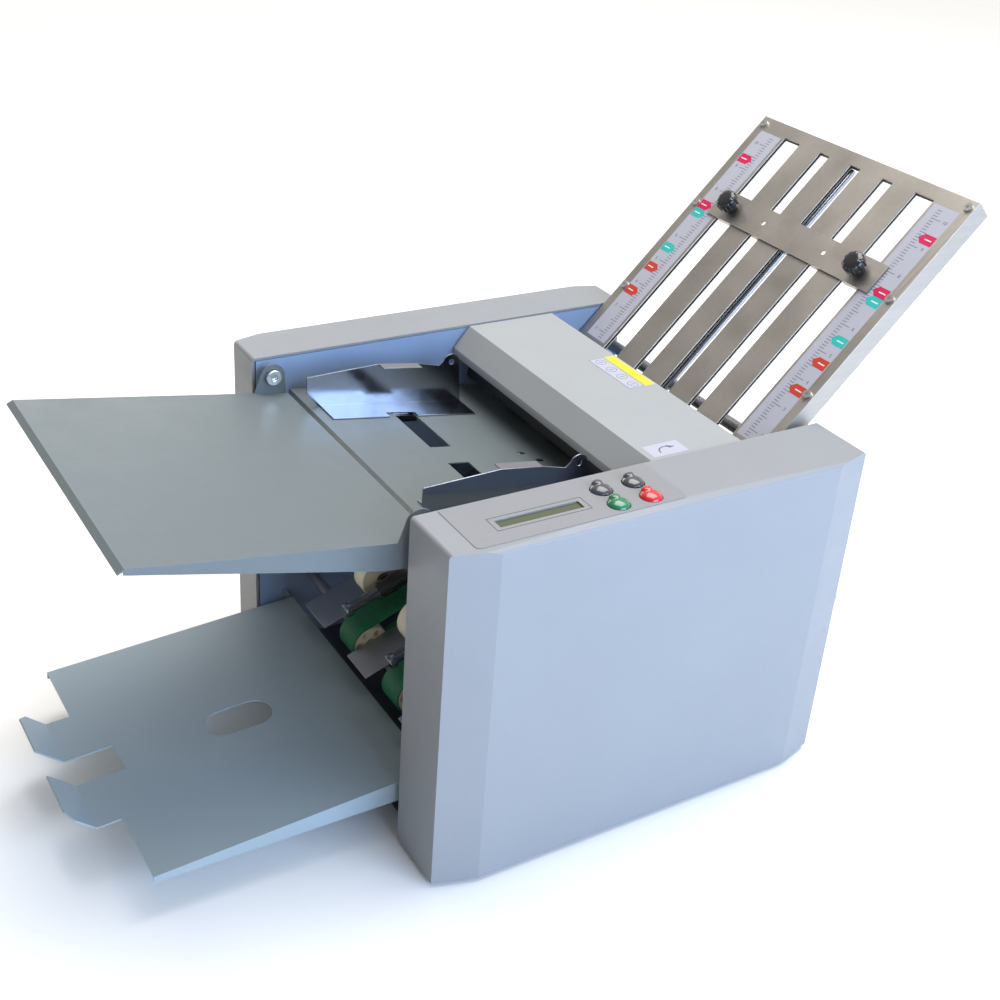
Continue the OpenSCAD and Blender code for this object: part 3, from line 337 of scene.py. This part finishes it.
def smooth_curves(mesh):
    """Shades rounded edges and curved walls smooth, and leaves flat faces flat."""
    bm = bmesh.new()
    bm.from_mesh(mesh)
    for face in bm.faces:
        bends = [edge.calc_face_angle(0) for edge in face.edges if len(edge.link_faces) == 2
                 and all(other.material_index == 0 for other in edge.link_faces)]
        narrow = face.calc_area() / max(edge.calc_length() for edge in face.edges) < 6 * MM
        curved = narrow and any(math.radians(0.7) < bend < math.radians(32) for bend in bends)
        face.smooth = face.material_index == 1 or curved
    for edge in bm.edges:
        if len(edge.link_faces) == 2 and edge.calc_face_angle(0) > math.radians(50):
            edge.smooth = False
    for face in bm.faces:
        face.material_index = 0
    bm.to_mesh(mesh)
    bm.free()
    mesh.materials.pop(index=1)


def soften(node, width, segments=2, angle=35):
    """Stands a copy with rounded edges in for a CAD node; pierced sheets are split first."""
    bm = bmesh.new()
    bm.from_mesh(nodes[node].data)
    bmesh.ops.remove_doubles(bm, verts=bm.verts, dist=2e-6)
    bmesh.ops.dissolve_limit(bm, angle_limit=math.radians(0.6), verts=bm.verts, edges=bm.edges)
    if node in PIERCED:
        bmesh.ops.triangulate(bm, faces=[face for face in bm.faces if len(face.verts) > 4])
    mesh = bpy.data.meshes.new(node + "_soft")
    bm.to_mesh(mesh)
    bm.free()
    mesh.materials.append(MATERIALS[node_slots[node]])
    mesh.materials.append(MATERIALS[node_slots[node]])
    obj = bpy.data.objects.new(node + "_soft", mesh)
    scene.collection.objects.link(obj)
    rounding = obj.modifiers.new("edges", "BEVEL")
    rounding.width = width * MM
    rounding.segments = segments
    rounding.limit_method = "ANGLE"
    rounding.angle_limit = math.radians(angle)
    rounding.use_clamp_overlap = True
    rounding.miter_outer = "MITER_ARC"
    rounding.material = 1
    bpy.context.view_layer.update()
    final = bpy.data.meshes.new_from_object(obj.evaluated_get(bpy.context.evaluated_depsgraph_get()))
    obj.modifiers.clear()
    obj.data = final
    smooth_curves(final)
    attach(obj, body_of(node))
    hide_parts(node)
    return obj


def slab(bm, corners, thickness, up):
    """A thin plate: corners in order, raised by thickness along up."""
    low = [bm.verts.new(corner) for corner in corners]
    high = [bm.verts.new(corner + up * thickness) for corner in corners]
    faces = [bm.faces.new(high), bm.faces.new(low[::-1])]
    count = len(corners)
    for i in range(count):
        faces.append(bm.faces.new((low[i], low[(i + 1) % count], high[(i + 1) % count], high[i])))
    bmesh.ops.recalc_face_normals(bm, faces=faces)


class Sheet:
    """A flat place to print on: origin, right, up and normal, all in metres."""

    def __init__(self, origin, right, up):
        self.origin, self.right, self.up = origin, right.normalized(), up.normalized()
        self.normal = self.right.cross(self.up)

    def point(self, x, y, h=0.0):
        return self.origin + (self.right * x + self.up * y + self.normal * h) * MM

    def box(self, bm, x0, y0, x1, y1, h, t):
        corners = [self.point(x, y, h) for x, y in ((x0, y0), (x1, y0), (x1, y1), (x0, y1))]
        slab(bm, corners, t * MM, self.normal)

    def shape(self, bm, points, h, t):
        slab(bm, [self.point(x, y, h) for x, y in points], t * MM, self.normal)

    def ring(self, bm, x, y, outer, inner, h, t, start=0, end=360, steps=32):
        angles = [math.radians(start + (end - start) * i / steps) for i in range(steps + 1)]
        for a, b in zip(angles, angles[1:]):
            self.shape(bm, [(x + r * math.cos(q), y + r * math.sin(q))
                            for r, q in ((inner, a), (outer, a), (outer, b), (inner, b))], h, t)

    def digits(self, bm, text, x, y, size, h):
        """Numerals as a thin mesh, centred at x, y."""
        curve = bpy.data.curves.new("digits", "FONT")
        curve.body = text
        curve.size = size * MM
        curve.align_x = "CENTER"
        curve.align_y = "CENTER"
        curve.extrude = 0.02 * MM
        obj = bpy.data.objects.new("digits", curve)
        scene.collection.objects.link(obj)
        turn = Matrix((self.right, self.up, self.normal)).transposed().to_4x4()
        obj.matrix_world = Matrix.Translation(self.point(x, y, h)) @ turn
        bpy.context.view_layer.update()
        mesh = bpy.data.meshes.new_from_object(obj.evaluated_get(bpy.context.evaluated_depsgraph_get()))
        mesh.transform(obj.matrix_world)
        bm.from_mesh(mesh)
        bpy.data.objects.remove(obj)


# ---------------------------------------------------------------- camera, light and floor
VIEW = Vector((0.498, 0.719, -0.485)).normalized()
RIGHT = Vector((0.844, -0.530, 0.081)).normalized()
CAMERA_AT = at(-361.5, -605.0, 700.6)
LENS = 51.8
FLOOR_LIFT = 0.36
LIFT_STARTS, LIFT_ENDS = 0.9, 3.0


def make_camera():
    data = bpy.data.cameras.new("camera")
    data.lens = LENS
    data.sensor_width = 36
    data.shift_x = -0.046
    data.shift_y = -0.004
    data.clip_start = 0.01
    camera = bpy.data.objects.new("camera", data)
    up = RIGHT.cross(VIEW).normalized()
    turn = Matrix((RIGHT, up, -VIEW)).transposed().to_4x4()
    camera.matrix_world = Matrix.Translation(CAMERA_AT) @ turn
    scene.collection.objects.link(camera)
    scene.camera = camera


def area_light(name, place, target, size, power, colour):
    data = bpy.data.lights.new(name, "AREA")
    data.shape = "SQUARE"
    data.size = size
    data.energy = power
    data.color = colour
    light = bpy.data.objects.new(name, data)
    light.location = place
    light.rotation_euler = (target - place).to_track_quat("-Z", "Y").to_euler()
    scene.collection.objects.link(light)


def make_studio():
    middle = Vector((0, 0, 0.2))
    area_light("top_soft", Vector((0.45, 0.25, 2.0)), middle, 1.6, 46, (1.0, 0.985, 0.96))
    area_light("side_sky", Vector((0.5, -2.1, 0.7)), middle, 1.8, 84, (0.44, 0.65, 1.0))
    area_light("far_fill", Vector((0.2, 2.4, 0.45)), middle, 1.2, 12, (0.90, 0.95, 1.0))
    world = bpy.data.worlds.new("studio")
    world.use_nodes = True
    tree = world.node_tree
    background = tree.nodes["Background"]
    place = tree.nodes.new("ShaderNodeTexCoord")
    split = tree.nodes.new("ShaderNodeSeparateXYZ")
    tree.links.new(place.outputs["Generated"], split.inputs[0])
    side = spread(tree, split.outputs["X"], 0.0, 1.0, -0.55, 0.45)
    colour = mix_colours(tree, side, (0.36, 0.35, 0.34), (0.92, 0.91, 0.89))
    tree.links.new(colour, background.inputs["Color"])
    background.inputs["Strength"].default_value = 0.85
    scene.world = world
    bpy.ops.mesh.primitive_plane_add(size=30, location=(0, 0, 0))
    floor = bpy.context.object
    floor.name = "floor"
    material, floor_tree, shader = new_material("floor")
    tone = mix_colours(floor_tree, noise(floor_tree, 2, 3), (0.97, 0.95, 0.92), (0.98, 0.965, 0.94))
    floor_tree.links.new(tone, shader.inputs["Base Color"])
    shader.inputs["Roughness"].default_value = 0.8
    # the lights fall off with distance, so the floor far from the machine is lifted to match
    on_floor = floor_tree.nodes.new("ShaderNodeTexCoord")
    away = floor_tree.nodes.new("ShaderNodeVectorMath")
    away.operation = "LENGTH"
    floor_tree.links.new(on_floor.outputs["Object"], away.inputs[0])
    lift = spread(floor_tree, away.outputs["Value"], 0.0, FLOOR_LIFT, LIFT_STARTS, LIFT_ENDS)
    shader.inputs["Emission Color"].default_value = (1.0, 0.985, 0.96, 1)
    floor_tree.links.new(lift, shader.inputs["Emission Strength"])
    floor.data.materials.append(material)
    scene.view_settings.view_transform = "Standard"


# ---------------------------------------------------------------- fold plate print
INCH = 25.4
PLATE_ZERO = 279.0
TAGS = ((11 / 3, "orange"), (14 / 3, "orange"), (5.5, "teal"), (7, "teal"), (22 / 3, "crimson"),
        (28 / 3, "crimson"))


def plate_sheet():
    """The top face of the upper fold plate: x across it, y up its slope from the top edge."""
    points = node_points("fold_plate_top")
    edge = max(points, key=lambda point: point.z)
    middle = (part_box("fold_plate_top")[0].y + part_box("fold_plate_top")[1].y) / 2
    slope = Vector(joints["paper_stop_slide"]["axis"])
    return Sheet(Vector((edge.x, middle, edge.z)), Vector((0, -1, 0)), slope)


def make_ruler(side, name):
    """One printed ruler; side is +1 for the near one, -1 for the far one."""
    sheet = plate_sheet()
    inner, outer = 87.0, 112.0
    film = bmesh.new()
    sheet.box(film, side * inner, -236, side * outer, -13.3, 0.02, 0.10)
    add_mesh(name + "_film", film, PRINT["film"], "root")
    ink = bmesh.new()
    for tenth in range(18, 104):
        value = tenth / 10
        y = -PLATE_ZERO + value * INCH
        if y > -16:
            continue
        length = 9.5 if tenth % 10 == 0 else 7.0 if tenth % 5 == 0 else 4.5
        start = inner + 6.5
        sheet.box(ink, side * start, y - 0.24, side * (start + length), y + 0.24, 0.13, 0.03)
        if tenth % 10 == 0:
            sheet.digits(ink, str(tenth // 10), side * (inner + 20.3), y, 4.2, 0.15)
    add_mesh(name + "_marks", ink, PRINT["ink"], "root")
    for number, (value, ink_name) in enumerate(TAGS):
        tag = bmesh.new()
        y = -PLATE_ZERO + value * INCH
        tip, shoulder, end = inner + 9.5, inner + 13.5, outer - 0.6
        outline = [(side * tip, y), (side * shoulder, y - 4.3), (side * end, y - 4.3),
                   (side * end, y + 4.3), (side * shoulder, y + 4.3)]
        sheet.shape(tag, outline, 0.16, 0.03)
        mark = bmesh.new()
        sheet.box(mark, side * (shoulder + 2.0), y - 0.45, side * (end - 2.2), y + 0.45, 0.20, 0.02)
        add_mesh(f"{name}_tag_{number}", tag, PRINT[ink_name], "root")
        add_mesh(f"{name}_tag_mark_{number}", mark, PRINT["white"], "root")


# ---------------------------------------------------------------- hood and panel print
def hood_sheet():
    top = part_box("hood")[1].z
    return Sheet(Vector((cover_low.x, cover_low.y, top)), Vector((1, 0, 0)), Vector((0, 1, 0)))


def make_hood_labels():
    sheet = hood_sheet()
    film = bmesh.new()
    sheet.box(film, 234, 160, 258, 216, 0.02, 0.08)
    add_mesh("hood_label", film, PRINT["film"], "hood")
    strip = bmesh.new()
    sheet.box(strip, 248.5, 160.6, 257.4, 215.4, 0.11, 0.03)
    add_mesh("hood_label_strip", strip, PRINT["yellow"], "hood")
    marks = bmesh.new()
    for y in (166.5, 180.5, 194.5, 208.5):
        sheet.ring(marks, 241.5, y, 4.2, 3.8, 0.11, 0.03)
        sheet.box(marks, 239.3, y - 0.3, 243.7, y + 0.3, 0.11, 0.03)
    for a, b in (((234.5, 160.5), (234.9, 215.5)), ((247.9, 160.5), (248.3, 215.5)),
                 ((234.5, 160.5), (248.3, 160.9)), ((234.5, 215.1), (248.3, 215.5))):
        sheet.box(marks, *a, *b, 0.11, 0.03)
    add_mesh("hood_label_marks", marks, PRINT["ink"], "hood")
    plate = bmesh.new()
    sheet.box(plate, 187, 63, 216, 79, 0.02, 0.04)
    add_mesh("hood_arrow_film", plate, PRINT["film"], "hood")
    arrow = bmesh.new()
    sheet.ring(arrow, 202, 67, 7.4, 6.4, 0.07, 0.03, 60, 180)
    sheet.shape(arrow, [(204.0, 75.4), (205.2, 71.0), (210.2, 71.6)], 0.07, 0.03)
    add_mesh("hood_arrow", arrow, PRINT["ink"], "hood")


def panel_sheet():
    return Sheet(Vector((cover_low.x, cover_low.y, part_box("control_overlay")[1].z)),
                 Vector((1, 0, 0)), Vector((0, 1, 0)))


def frame_lines(sheet, bm, x0, y0, x1, y1, line, h, t):
    """A rectangle drawn with four lines."""
    sheet.box(bm, x0, y0, x1, y0 + line, h, t)
    sheet.box(bm, x0, y1 - line, x1, y1, h, t)
    sheet.box(bm, x0, y0 + line, x0 + line, y1 - line, h, t)
    sheet.box(bm, x1 - line, y0 + line, x1, y1 - line, h, t)


def make_panel_print():
    sheet = panel_sheet()
    lines = bmesh.new()
    frame_lines(sheet, lines, 39.6, 21.0, 108.4, 36.4, 0.5, 0.005, 0.03)
    add_mesh("display_outline", lines, PRINT["dark"], "root")


# ---------------------------------------------------------------- buttons
def teardrop_radius(angle, front, back, offset):
    """Distance from the front circle's centre to the outline of two joined circles."""
    direction = Vector((math.cos(angle), math.sin(angle)))
    best = 0.0
    steps = 24
    for i in range(steps + 1):
        share = i / steps
        centre = Vector((0, offset * share))
        radius = front + (back - front) * share
        along = centre.dot(direction)
        aside = (centre - direction * along).length
        if aside < radius:
            best = max(best, along + math.sqrt(radius * radius - aside * aside))
    return best


def make_button(node, mark):
    """A domed key: a wide glossy front lobe and a narrow raised back lobe."""
    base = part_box(node)[0].z
    top = cover_high.z
    front, back, offset = 7.5, 3.6, 5.2
    bulge, dome_height, knob_height = 0.6, 3.5, 4.6
    head = [point for point in node_points(node) if point.z > top + 1 * MM]
    middle_x = (min(p.x for p in head) + max(p.x for p in head)) / 2
    centre = Vector((middle_x, min(p.y for p in head) + front * MM, top))
    bm = bmesh.new()
    around, rings = 56, 14
    grid = []
    for k in range(rings + 1):
        share = math.sin(math.pi / 2 * k / rings)
        row = []
        for i in range(around):
            angle = 2 * math.pi * i / around
            reach = teardrop_radius(angle, front, back, offset) * share
            x, y = reach * math.cos(angle), reach * math.sin(angle)
            dome = dome_height * math.sqrt(max(0.0, 1 - share ** 2.6))
            lobe = math.hypot(x / 1.15, y - offset) / (back + 0.3)
            knob = knob_height * max(0.0, 1 - lobe ** 6) if lobe < 1 else 0.0
            blend = max(dome, knob) if k < rings else 0.0
            row.append(bm.verts.new(centre + Vector((x, y, blend + bulge * (1 - share))) * MM))
        grid.append(row)
    skirt = [bm.verts.new(Vector((v.co.x, v.co.y, base + 1.5 * MM))) for v in grid[-1]]
    grid.append(skirt)
    for inner, outer in zip(grid[1:], grid[2:]):
        for i in range(around):
            bm.faces.new((inner[i], outer[i], outer[(i + 1) % around], inner[(i + 1) % around]))
    bm.faces.new(grid[1])
    bm.faces.new(skirt[::-1])
    for vertex in grid[0]:
        bm.verts.remove(vertex)
    bmesh.ops.recalc_face_normals(bm, faces=bm.faces)
    cap = add_mesh(node + "_cap", bm, MATERIALS[node_slots[node]], body_of(node), 50)
    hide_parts(node)
    icon = bmesh.new()
    sheet = Sheet(centre, Vector((1, 0, 0)), Vector((0, 1, 0)))
    height = knob_height + 0.02
    if mark == "ring":
        sheet.ring(icon, 0, offset, 1.9, 1.2, height, 0.05)
    elif mark == "bar":
        sheet.box(icon, -0.4, offset - 1.8, 0.4, offset + 1.8, height, 0.05)
    elif mark == "square":
        frame_lines(sheet, icon, -1.6, offset - 1.6, 1.6, offset + 1.6, 0.6, height, 0.05)
    else:
        sheet.shape(icon, [(-1.6, offset - 1.6), (1.8, offset), (-1.6, offset + 1.6)], height, 0.05)
    add_mesh(node + "_mark", icon, PRINT["white"], body_of(node))


# ---------------------------------------------------------------- knobs
def make_knob(node, joint):
    """Fluted clamp knob with a collar and a domed head, turned round its joint's axis."""
    axis = Vector(joints[joint]["axis"]).normalized()
    along = [point.dot(axis) for point in node_points(node)]
    base, top = min(along), max(along)
    centre_line = Vector(joints[joint]["pos_m"])
    flat = centre_line - axis * centre_line.dot(axis)
    side = axis.orthogonal().normalized()
    third = axis.cross(side)
    head = top - 14 * MM
    flutes, around = 10, 120
    profile = [(base, 2.45, 0), (head + 0.2 * MM, 2.45, 0),
               (head + 0.2 * MM, 5.0, 0), (head + 0.5 * MM, 5.5, 0),
               (head + 4.0 * MM, 5.5, 0), (head + 4.2 * MM, 7.4, 0.3), (head + 5.0 * MM, 8.6, 1),
               (head + 11.6 * MM, 8.9, 1), (head + 12.8 * MM, 8.3, 0.7), (head + 13.6 * MM, 6.8, 0.2),
               (head + 14.0 * MM, 4.2, 0)]
    bm = bmesh.new()
    rows = []
    for height, radius, fluted in profile:
        row = []
        for i in range(around):
            angle = 2 * math.pi * i / around
            groove = 0.10 * fluted * max(0.0, math.cos(flutes * angle)) ** 2
            reach = radius * (1 - groove) * MM
            outward = side * math.cos(angle) + third * math.sin(angle)
            row.append(bm.verts.new(flat + axis * height + outward * reach))
        rows.append(row)
    for lower, upper in zip(rows, rows[1:]):
        for i in range(around):
            bm.faces.new((lower[i], lower[(i + 1) % around], upper[(i + 1) % around], upper[i]))
    bm.faces.new(rows[0][::-1])
    bm.faces.new(rows[-1])
    knob = add_mesh(node + "_moulding", bm, KNOB, body_of(node), 40)
    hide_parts(node)


# ---------------------------------------------------------------- build
make_camera()
make_studio()
for name, width, segments in (
        ("near_cover", 1.2, 3), ("far_cover", 1.2, 3), ("feed_table", 0.45, 2), ("feed_deck", 0.4, 2),
        ("stacker_tray", 0.4, 2), ("hood", 0.6, 3), ("near_guide", 0.3, 2), ("far_guide", 0.3, 2),
        ("fold_plate_top", 0.35, 2), ("fold_plate_bottom", 0.3, 2), ("paper_stop", 0.3, 2),
        ("lower_plate", 0.35, 2), ("lower_stop", 0.3, 2), ("stack_gate", 0.3, 2),
        ("exit_chute", 0.3, 2), ("plate_rail", 0.3, 2), ("exit_carrier", 0.5, 2),
        ("exit_wheels", 0.8, 2), ("idler_pulleys", 0.5, 2),
        ("delivery_belts", 0.3, 2), ("exit_rods", 0.5, 2), ("pivot_screws", 0.6, 3),
        ("rubber_feet", 0.8, 2),
        ("mains_inlet", 0.5, 2), ("power_rocker", 0.5, 2), ("near_frame", 0.4, 2), ("far_frame", 0.4, 2)):
    soften(name, width, segments)
make_ruler(1, "near_ruler")
make_ruler(-1, "far_ruler")
make_hood_labels()
make_panel_print()
for name, mark in (("start_button", "play"), ("stop_button", "square"),
                   ("up_button", "bar"), ("down_button", "ring")):
    make_button(name, mark)
for name, joint in (("near_stop_knob", "near_knob_turn"), ("far_stop_knob", "far_knob_turn"),
                    ("lower_stop_knob", "lower_knob_turn")):
    make_knob(name, joint)
